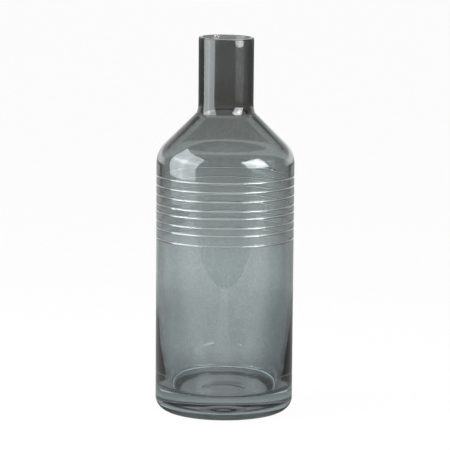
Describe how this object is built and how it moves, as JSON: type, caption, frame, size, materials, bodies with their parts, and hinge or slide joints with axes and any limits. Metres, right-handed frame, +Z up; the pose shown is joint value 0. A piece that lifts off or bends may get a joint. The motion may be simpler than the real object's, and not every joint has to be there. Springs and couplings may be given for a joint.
{
  "type": "bottle vase",
  "caption": "Tall bottle vase of clear glass under a smoke-grey outer layer, with straight neck, sloping shoulder, fine lines cut round the upper body and a heavy base. Holds stems in water.",
  "frame": {"origin": "centre of the ground foot, on the surface that the vase stands on", "axes": "+Z up along the vase's axis, from the foot to the rim; the vase is round, so X and Y are any two directions across it"},
  "size_m": [0.11, 0.11, 0.3],
  "materials": {
    "clear_glass": "polished clear glass",
    "smoke_glass": "polished smoke-grey glass layer"
  },
  "bodies": {
    "root": {"clear_glass_body": "clear_glass", "smoke_neck_shoulder": "smoke_glass", "smoke_band_1": "smoke_glass", "smoke_band_2": "smoke_glass", "smoke_band_3": "smoke_glass", "smoke_band_4": "smoke_glass", "smoke_band_5": "smoke_glass", "smoke_band_6": "smoke_glass", "smoke_band_7": "smoke_glass", "smoke_lower_body": "smoke_glass"}
  },
  "joints": []
}
